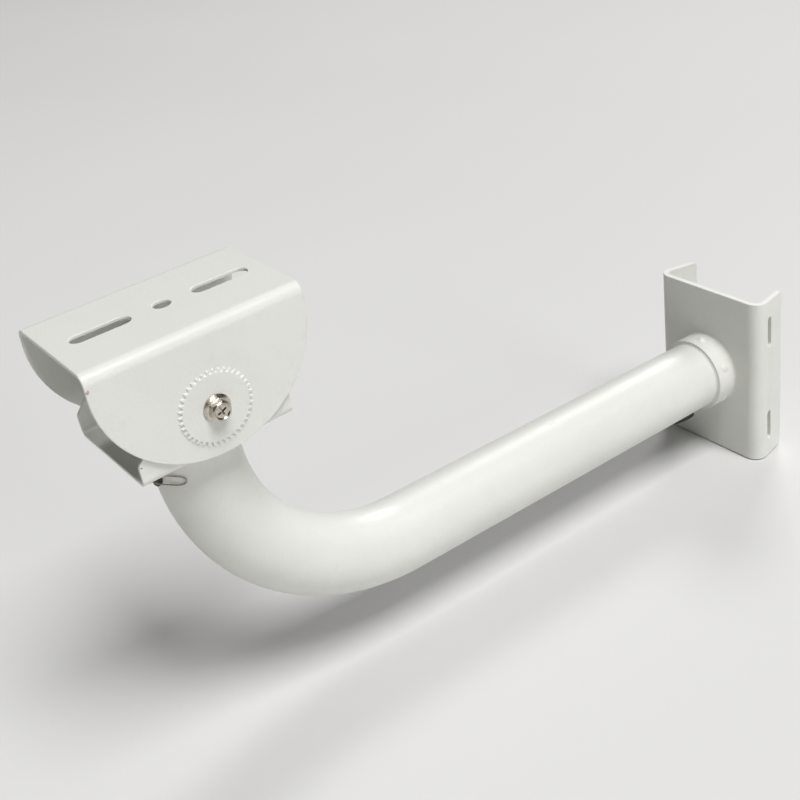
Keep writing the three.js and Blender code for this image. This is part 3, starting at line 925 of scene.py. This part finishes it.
    def build_all(self) -> None:
        """Builds and dresses the tube, sleeve, beads and rivets."""
        paint = self.finishes.paint
        hand_over(self.build_tube(), "arm", paint, Slot.PAINT, Body.BRACKET, "arm_tube")
        hand_over(self.build_sleeve(), "sleeve", paint, Slot.PAINT, Body.BRACKET, "arm_sleeve")
        face = shift(y=self.front - self.sleeve_length - GAP) @ turn(90, "X")
        bead = self.build_bead(self.radius, self.bead, face, 34, 0.18)
        hand_over(bead, "sleeve_front_bead", paint, Slot.PAINT, Body.BRACKET, "sleeve_front_weld")
        bead = self.build_bead(self.sleeve_radius, self.bead, shift(y=self.front) @ turn(90, "X"), 40, 0.12)
        hand_over(bead, "sleeve_plate_bead", paint, Slot.PAINT, Body.BRACKET, "sleeve_plate_weld")
        under = frame_of(Vector((1, 0, 0)), -self.fore, -self.along, self.leg_end)
        bead = self.build_bead(self.radius, self.seat_bead, under, 44, 0.22)
        hand_over(bead, "cradle_bead", paint, Slot.PAINT, Body.BRACKET, "cradle_weld")
        first = self.build_rivet()
        for i in range(self.rivets):
            place = shift(y=self.front - self.rivet_at) @ turn(360 / self.rivets * i - self.rivet_turn, "Y")
            rivet = twin(first, place)
            hand_over(rivet, f"rivet_{i + 1}", paint, Slot.PAINT, Body.BRACKET, f"sleeve_rivet_{i + 1}")
        bpy.data.objects.remove(first)


def frame_of(x: Vector, y: Vector, z: Vector, at: Vector) -> Matrix:
    """A place from its three unit axes and its origin in millimetres."""
    matrix = Matrix((x, y, z)).transposed().to_4x4()
    matrix.translation = at
    return matrix


@dataclass
class Grommet:
    """Rubber grommet that follows the tube's curve."""

    finishes: Finishes
    name: str
    node: str
    hole: float
    bore: float
    lip: float
    proud: float
    skin: float = 24.05
    wall: float = 2.3
    inner_lip: float = 1.6

    def build(self, place: Matrix) -> bpy.types.Object:
        """Turns the grommet flat and bends it round the tube.

        Args:
            place: The hole's place, with z out of the tube and y along it.

        Returns:
            The grommet.
        """
        round_r = self.proud * 0.32
        top = [(self.lip - round_r + round_r * math.cos(a), self.proud - round_r + round_r * math.sin(a))
               for a in (math.radians(18 * i) for i in range(6))]
        throat = 0.45 * round_r
        low = -self.wall - self.inner_lip
        profile = [
            (self.bore, low), (self.lip - 0.8, low),
            (self.lip - 0.2, low + 0.5), (self.lip - 0.2, -self.wall),
            (self.hole - GAP, -self.wall), (self.hole - GAP, 0), (self.lip, 0), *top,
            (self.bore + throat, self.proud),
            (self.bore + 0.25 * throat, self.proud - 0.3 * throat),
            (self.bore, self.proud - throat), (self.bore, low),
        ]
        piece = turned(profile, 64)
        with editing(piece):
            bpy.ops.mesh.select_all(action="SELECT")
            bpy.ops.mesh.subdivide(number_cuts=1)
        settle(piece, turn(-90, "X"))
        finish_with(piece, "SIMPLE_DEFORM", deform_method="BEND", deform_axis="Z",
                    angle=-2 * self.lip / self.skin)
        settle(piece, place @ shift(z=self.skin) @ turn(90, "X"))
        return smooth(piece, 50)

    def dress(self, piece: bpy.types.Object) -> None:
        """Gives the grommet its rubber."""
        hand_over(piece, self.name, self.finishes.rubber, Slot.RUBBER, Body.BRACKET, self.node)


@dataclass
class DrawWire:
    """Steel wire left in the arm for pulling the cable through, looped out of the head hole."""

    finishes: Finishes
    arm: Arm
    radius: float = 0.35
    low: float = 15
    tail: float = 60
    lip: float = 1.9

    def route(self) -> list[Vector]:
        """Points of the wire in millimetres, from its inner end to the head hole's throat."""
        arm, top = self.arm, self.arm.radius
        hug = top + GAP + self.radius
        proud = hug + self.lip + GAP
        points = [Vector((0, arm.front - self.tail - (arm.run - self.tail) * i / 4, -self.low))
                  for i in range(5)]
        for share in (0.17, 0.34, 0.5, 0.66, 0.82, 0.93):
            a = math.radians(arm.angle * share)
            r = arm.bend + self.low
            points.append(Vector((0, arm.front - arm.run - r * math.sin(a),
                                  arm.bend - r * math.cos(a))))
        out = [(0, 1.7, top - 6), (0, 1.8, top - 2), (1, 1.9, top + 1.5)]
        over = [(4, 2.2, proud + 0.3), (10, 2.7, proud + 0.1), (16, 3.1, proud - 0.4), (22, 3.3, hug + 1.2),
                (28, 3.3, hug + 0.5), (36, 3.1, hug + 0.1), (43, 2.7, hug), (48, 1.9, hug)]
        under = [(50.6, 0.6, hug), (50, -0.8, hug), (46.6, -1.9, hug), (42, -2.4, hug), (34, -2.4, hug + 0.1),
                 (26, -2.2, hug + 0.6), (19, -2, hug + 1.6), (13, -1.9, proud - 0.1), (6, -1.8, proud + 0.2)]
        back = [(1.5, -1.7, top + 1.8), (0, -1.6, top - 2), (0, -1.6, top - 5)]
        centre = arm.leg_end - arm.along * arm.head_hole[0]
        for angle, up, r in (*out, *over, *under, *back):
            a = math.radians(angle)
            sideways = Vector((r * math.sin(a), 0, 0))
            points.append(centre + arm.fore * r * math.cos(a) + sideways + arm.along * up)
        return points

    def build(self) -> bpy.types.Object:
        data = bpy.data.curves.new("draw_wire_run", "CURVE")
        data.dimensions = "3D"
        points = self.route()
        spline = data.splines.new("BEZIER")
        spline.bezier_points.add(len(points) - 1)
        for knot, point in zip(spline.bezier_points, points):
            knot.co = point * MM
            knot.handle_left_type = knot.handle_right_type = "AUTO"
        spline.resolution_u = data.resolution_u = 5
        data.bevel_depth = self.radius * MM
        data.bevel_resolution = 3
        data.use_fill_caps = True
        piece = bpy.data.objects.new("draw_wire_run", data)
        bpy.context.collection.objects.link(piece)
        bpy.context.view_layer.update()
        data.materials.append(self.finishes.wire)
        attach(piece, Body.BRACKET.value)
        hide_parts("draw_wire")
        mouth = self.arm.head_frame @ Vector((0, 0, self.arm.radius))
        return piece


@dataclass
class Head:
    """Shared place of the parts about the tilt pivot: x right, y rearward, z up."""

    finishes: Finishes
    pivot: Vector
    tip: float
    screw_hole: float = 3.2

    @property
    def place(self) -> Matrix:
        """Place of the head's axes in millimetres."""
        return Matrix.Translation(self.pivot) @ turn(self.tip, "X")


@dataclass
class Cradle(Head):
    """Upright channel across the end of the leg, with a round lobe at the pivot."""

    width: float = 74.2
    length: float = 85
    sheet: float = 2
    bend: float = 4.2
    end: float = 12.5
    lobe: float = 24
    up: float = 25.5
    fore: float = 1.8
    corner: float = 1.6
    pin_in: float = 1.1
    pin_down: float = 13.9
    pin_radius: float = 0.5
    pin_length: float = 3.2

    def build(self) -> bpy.types.Object:
        """Folds the channel and trims its cheeks to their outline."""
        tall = self.up + self.lobe + 2
        half = self.width / 2
        piece = folded_channel(half, half, tall, self.length, self.sheet, self.bend, 8)
        settle(piece, shift(y=-self.fore, z=-self.up))
        ends = (-self.fore - self.length / 2, -self.fore + self.length / 2)
        foot = block((-half - 8, ends[0], -self.up - 4), (half + 8, ends[1], -self.up + self.end))
        outline = wrapped(foot, rod(self.lobe, self.width + 16, (0, 0, 0), Axis.X, 160))
        shoulder = -self.up + self.end
        with editing(outline):
            pick(outline, Part.EDGES, lambda c, n: abs(c.z - shoulder) < 0.05 and abs(n.x) > 0.9)
            bpy.ops.mesh.bevel(offset=self.corner * MM, segments=5, affect="EDGES")
        work(piece, outline, Cut.KEEP)
        work(piece, rod(self.screw_hole, 2 * self.width, (0, 0, 0), Axis.X, 48), Cut.TAKE)
        pin = (half + 0.2, -(self.fore + self.length / 2 - self.pin_in), -self.pin_down)
        soften(piece, 0.4, 3)
        work(piece, rod(self.pin_radius, self.pin_length, pin, Axis.X, 24), Cut.TAKE)
        return settle(smooth(piece, 40, SQUARE), self.place)

    def dress(self, piece: bpy.types.Object) -> None:
        """Gives the cradle its coat."""
        hand_over(piece, "cradle_channel", self.finishes.paint, Slot.PAINT, Body.BRACKET, "cradle")


@dataclass
class Yoke(Head):
    """Tilting camera seat: downward channel with half-round cheeks and pressed rings of teeth."""

    width: float = 78.8
    length: float = 118
    sheet: float = 2
    bend: float = 6.2
    top: float = 43.8
    arc_up: float = 32.3
    back: float = 0.3
    slot_length: float = 32
    slot_width: float = 9.4
    slot_at: float = 33
    hole: float = 4.7
    row: float = 1.6
    teeth: int = 40
    tooth_tip: float = 20.5
    tooth_root: float = 18.7
    tooth_rise: float = 1.0
    slope: float = 0.52
    phase: float = 4.5
    foot: float = 0.6

    def toothed(self, tip: float, root: float, rise: float, sunk: float) -> bpy.types.Object:
        """A toothed disc on z = 0 with sloping flanks, its foot below the face.

        Args:
            tip: Radius at the teeth's tips.
            root: Radius at the gaps.
            rise: Height above z = 0.
            sunk: Depth of the foot below z = 0.

        Returns:
            The disc.
        """
        per_tooth = 5
        step = 2 * math.pi / (self.teeth * per_tooth)
        deselect()
        bpy.ops.mesh.primitive_circle_add(vertices=self.teeth * per_tooth, radius=tip * MM,
                                          fill_type="NOTHING", location=(0, 0, -sunk * MM))
        piece = settle(bpy.context.object)
        with editing(piece):
            pick(piece, Part.VERTS,
                 lambda c, n: round(math.atan2(c.y, c.x) / step - 0.001) % per_tooth in (0, 1))
            bpy.ops.transform.resize(value=(root / tip, root / tip, 1))
            bpy.ops.mesh.select_all(action="SELECT")
            bpy.ops.mesh.edge_face_add()
            bpy.ops.mesh.extrude_region_move(TRANSFORM_OT_translate={"value": (0, 0, sunk * MM)})
            bpy.ops.mesh.select_all(action="SELECT")
            bpy.ops.mesh.normals_make_consistent(inside=False)
            pick(piece, Part.FACES, lambda c, n: c.z > -0.05 and n.z > 0.9)
            bpy.ops.mesh.inset(thickness=self.slope * MM, depth=rise * MM)
            bpy.ops.mesh.select_all(action="SELECT")
            bpy.ops.mesh.normals_make_consistent(inside=False)
        return piece

    def build(self) -> bpy.types.Object:
        """Folds the seat, trims its cheeks, cuts its slots and presses its teeth."""
        half, reach = self.width / 2, self.length / 2
        tall = self.top + reach - self.arc_up + 4
        piece = folded_channel(half, half, tall, self.length, self.sheet, self.bend, 12)
        settle(piece, shift(y=self.back, z=self.top) @ turn(180, "Y"))
        low, high = (-half - 8, self.back - reach, self.arc_up), (half + 8, self.back + reach, self.top + 6)
        disc = rod(reach, self.width + 16, (0, self.back, self.arc_up), Axis.X, 192)
        work(piece, wrapped(block(low, high), disc), Cut.KEEP)
        for along in (-self.slot_at, self.slot_at):
            at = (0, self.row + along, self.top)
            work(piece, slot_cutter(self.slot_length, self.slot_width, at, Axis.Z, (0, 1, 0)), Cut.TAKE)
        work(piece, rod(self.hole, 24, (0, self.row, self.top), Axis.Z, 48), Cut.TAKE)
        work(piece, rod(self.screw_hole, 2 * self.width, (0, 0, 0), Axis.X, 48), Cut.TAKE)
        soften(piece, 0.55, 3)
        rings = []
        for side in (-1, 1):
            outward = turn(90 * side, "Y") @ turn(self.phase, "Z")
            sink = self.toothed(self.tooth_tip - 0.5, self.tooth_root - 0.5,
                                self.tooth_rise - 0.05, self.foot)
            work(piece, settle(sink, shift(x=side * (half - self.sheet)) @ outward), Cut.TAKE)
            ring = self.toothed(self.tooth_tip, self.tooth_root, self.tooth_rise, self.foot)
            finish_with(ring, "BEVEL", width=0.12 * MM, segments=2, limit_method="ANGLE",
                        angle_limit=math.radians(30))
            work(ring, rod(self.screw_hole, 8, (0, 0, 0), Axis.Z, 48), Cut.TAKE)
            rings.append(smooth(settle(ring, shift(x=side * half) @ outward), 32, SQUARE))
        return settle(join(smooth(piece, 32, SQUARE), *rings), self.place)

    def dress(self, piece: bpy.types.Object) -> None:
        """Gives the seat its coat."""
        hand_over(piece, "seat_channel", self.finishes.seat_paint, Slot.PAINT, Body.SEAT, "yoke")


@dataclass
class PivotFasteners(Head):
    """Flanged hexagon screws with cross recesses, and their weld nuts."""

    seat: float = 40.7
    nut_seat: float = 34.8
    flange: float = 7.4
    flange_height: float = 2.4
    flats: float = 10
    head: float = 6.2
    shank: float = 2.9
    reach: float = 13
    dish: float = 4.1
    cross: tuple = (6.8, 1.4, 3.0)
    cross_turn: float = 25
    hexagon_turn: float = 19
    nut: float = 5

    def build_screw(self) -> bpy.types.Object:
        """Turns the flange and shank, adds the hexagon, and sinks its dish and cross."""
        f, h = self.flange, self.flange_height
        piece = turned([
            (0, -self.reach), (self.shank - 0.6, -self.reach),
            (self.shank, -self.reach + 0.7), (self.shank, 0),
            (f - 0.2, 0), (f, 0.2), (f, 0.8), (f - 0.2, 1.0), (self.flats / 2 + 0.9, h - 0.75),
            (self.flats / 2 + 0.4, h - 0.6), (self.flats / 2 - 0.6, h - 0.5), (0, h - 0.5),
        ], 72)
        across = self.flats / math.sqrt(3)
        hexagon = rod(across, self.head - 0.4, (0, 0, 0.4 + (self.head - 0.4) / 2), Axis.Z, 6)
        settle(hexagon, turn(self.hexagon_turn, "Z"))
        rim = self.flats / 2 - 0.15
        crown = turned([
            (0, 0.1), (across + 0.3, 0.1), (across + 0.3, self.head - 1.5), (rim, self.head - 0.35),
            (rim - 0.2, self.head - 0.08), (rim - 0.4, self.head), (self.dish + 0.1, self.head - 0.02),
            (self.dish, self.head - 0.12), (self.dish * 0.86, self.head - 0.7), (0, self.head - 0.8),
        ], 72)
        work(hexagon, crown, Cut.KEEP)
        length, width, depth = self.cross
        for angle in (self.cross_turn, self.cross_turn + 90):
            blade = block((-length / 2, -width / 2, self.head - depth),
                          (length / 2, width / 2, self.head + 1))
            with editing(blade):
                pick(blade, Part.VERTS, lambda c, n: c.z < self.head - depth + 0.1)
                bpy.ops.transform.resize(value=(0.5, 0.4, 1))
            work(hexagon, settle(blade, turn(angle, "Z")), Cut.TAKE)
        soften(hexagon, 0.12, 2, 25)
        work(piece, hexagon, Cut.WELD)
        return smooth(piece, 32, SQUARE)

    def build_nut(self) -> bpy.types.Object:
        """Makes one hexagon nut with chamfered corners and a threaded-size bore, z from 0 up."""
        across = self.flats / math.sqrt(3)
        piece = rod(across, self.nut, (0, 0, self.nut / 2), Axis.Z, 6)
        crown = turned([
            (0, 0), (self.flats / 2, 0), (across + 0.1, 0.5), (across + 0.1, self.nut - 0.5),
            (self.flats / 2, self.nut), (0, self.nut),
        ], 64)
        work(piece, crown, Cut.KEEP)
        r, wide, high = self.screw_hole, self.screw_hole + 1.2, self.nut
        bore = turned([(0, -1), (wide, -1), (r, 0.4), (r, high - 0.4), (wide, high + 1), (0, high + 1)], 48)
        work(piece, bore, Cut.TAKE)
        return smooth(soften(piece, 0.15, 2, 28), 32, SQUARE)

    def build_all(self) -> None:
        """Makes the screw and the nut once and places one of each on both sides."""
        screw, nut = self.build_screw(), self.build_nut()
        away = Matrix.Translation(self.pivot)
        for side, sign in (("right", 1), ("left", -1)):
            outward = away @ turn(90 * sign, "Y")
            piece = twin(screw, outward @ shift(z=self.seat - 0.25))
            hand_over(piece, f"screw_{side}", self.finishes.nickel, Slot.NICKEL, Body.BRACKET,
                      f"pivot_screw_{side}")
            piece = twin(nut, outward @ shift(z=self.nut_seat - self.nut + 0.25))
            hand_over(piece, f"nut_{side}", self.finishes.zinc, Slot.ZINC, Body.BRACKET,
                      f"weld_nut_{side}")
        for done in (screw, nut):
            bpy.data.objects.remove(done)


# ---------------------------------------------------------------- studio


@dataclass(frozen=True)
class SoftLight:
    """A rectangular soft light aimed at a point."""

    name: str
    at: tuple
    aim: tuple
    size: tuple
    power: float
    colour: tuple = (1.0, 1.0, 1.0)

    def build(self) -> None:
        """Hangs the light."""
        data = bpy.data.lights.new(self.name, "AREA")
        data.shape = "RECTANGLE"
        data.size, data.size_y = self.size
        data.energy = self.power
        data.color = self.colour
        light = bpy.data.objects.new(self.name, data)
        light.location = self.at
        light.rotation_euler = (Vector(self.aim) - Vector(self.at)).to_track_quat("-Z", "Y").to_euler()
        bpy.context.collection.objects.link(light)


@dataclass
class Studio:
    """Camera, pale floor and soft lights."""

    eye: tuple = (0.550466, -0.653369, 0.450687)
    azimuth: float = -52.82676
    elevation: float = -24.5694
    roll: float = 5.67303
    lens: float = 56.464
    shift_x: float = -0.0994
    shift_y: float = -0.1346
    floor_z: float = -0.0637
    air: float = 0.04
    backdrop: float = 0.68
    lights: tuple = (
        SoftLight("key", (3.4, -0.3, 7.1), (0.0, -0.2, 0.05), (3.4, 3.4), 550.0),
        SoftLight("side", (7.0, 0.3, 2.6), (0.0, -0.2, 0.05), (2.4, 2.4), 100.0),
        SoftLight("rear", (-3.4, 5.0, 5.4), (0.0, -0.2, 0.05), (2.2, 2.2), 220.0),
    )

    def build_camera(self) -> None:
        """Sets the camera by its eye, the way it looks and its roll."""
        az, el = math.radians(self.azimuth), math.radians(self.elevation)
        ahead = Vector((math.cos(el) * math.sin(az), math.cos(el) * math.cos(az), math.sin(el)))
        level = ahead.cross(Vector((0, 0, 1))).normalized()
        right = Matrix.Rotation(math.radians(self.roll), 3, ahead) @ level
        up = right.cross(ahead)
        matrix = Matrix((right, up, -ahead)).transposed().to_4x4()
        matrix.translation = Vector(self.eye)
        data = bpy.data.cameras.new("camera")
        data.lens, data.sensor_width = self.lens, 36.0
        data.shift_x, data.shift_y = self.shift_x, self.shift_y
        data.clip_start, data.clip_end = 0.01, 60.0
        camera = bpy.data.objects.new("camera", data)
        camera.matrix_world = matrix
        bpy.context.collection.objects.link(camera)
        bpy.context.scene.camera = camera

    def build_floor(self) -> None:
        """Lays a wide pale floor under the plate's lower edge."""
        deselect()
        bpy.ops.mesh.primitive_plane_add(size=16, location=(0, 0, self.floor_z))
        floor = settle(bpy.context.object)
        floor.name = "floor"
        material, wire, shader = new_material("pale_floor")
        where = wire.add("TexCoord").outputs["Object"]
        patch = wire.spread(wire.noise(1.5, 2.0, where), 0.3, 0.7)
        wire.feed(shader, "Base Color", wire.blend(patch, (0.72, 0.715, 0.705, 1), (0.705, 0.70, 0.69, 1)))
        wire.feed(shader, "Roughness", wire.math("ADD", wire.math("MULTIPLY", patch, 0.05), 0.85))
        shader.inputs["Specular IOR Level"].default_value = 0.1
        floor.data.materials.append(material)

    def build(self) -> None:
        """Sets the whole studio."""
        self.build_camera()
        self.build_floor()
        for light in self.lights:
            light.build()
        scene = bpy.context.scene
        world = bpy.data.worlds.new("studio_air")
        scene.world = world
        world.use_nodes = True
        wire = Wiring(world.node_tree)
        air = world.node_tree.nodes["Background"]
        air.inputs["Color"].default_value = (1, 1, 1, 1)
        seen = wire.add("LightPath").outputs["Is Camera Ray"]
        wire.feed(air, "Strength", wire.spread(seen, 0, 1, self.air, self.backdrop))
        scene.view_settings.view_transform = "Standard"
        scene.view_settings.look = "None"


def main() -> None:
    """Builds the studio, then every sub-assembly in order."""
    logging.basicConfig(level=logging.INFO, format="%(name)s %(message)s")
    Studio().build()
    finishes = Finishes(Effects())
    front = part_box("back_plate")[0][1] / MM
    pivot = Vector(frame["joints"][0]["pos_m"]) / MM
    arm = Arm(finishes, front)
    DrawWire(finishes, arm).build()
    plate = PolePlate(finishes)
    plate.dress(plate.build())
    arm.build_all()
    base = Grommet(finishes, "grommet_base", "base_grommet", hole=11.0, bore=8.0, lip=13.2, proud=2.9)
    base.dress(base.build(arm.base_frame))
    head = Grommet(finishes, "grommet_head", "head_grommet", hole=5.0, bore=3.4, lip=6.3, proud=1.9)
    head.dress(head.build(arm.head_frame))
    cradle = Cradle(finishes, pivot, 90 - arm.angle)
    cradle.dress(cradle.build())
    yoke = Yoke(finishes, pivot, tip=2.6)
    yoke.dress(yoke.build())
    PivotFasteners(finishes, pivot, tip=0).build_all()


if __name__ == "__main__":
    main()
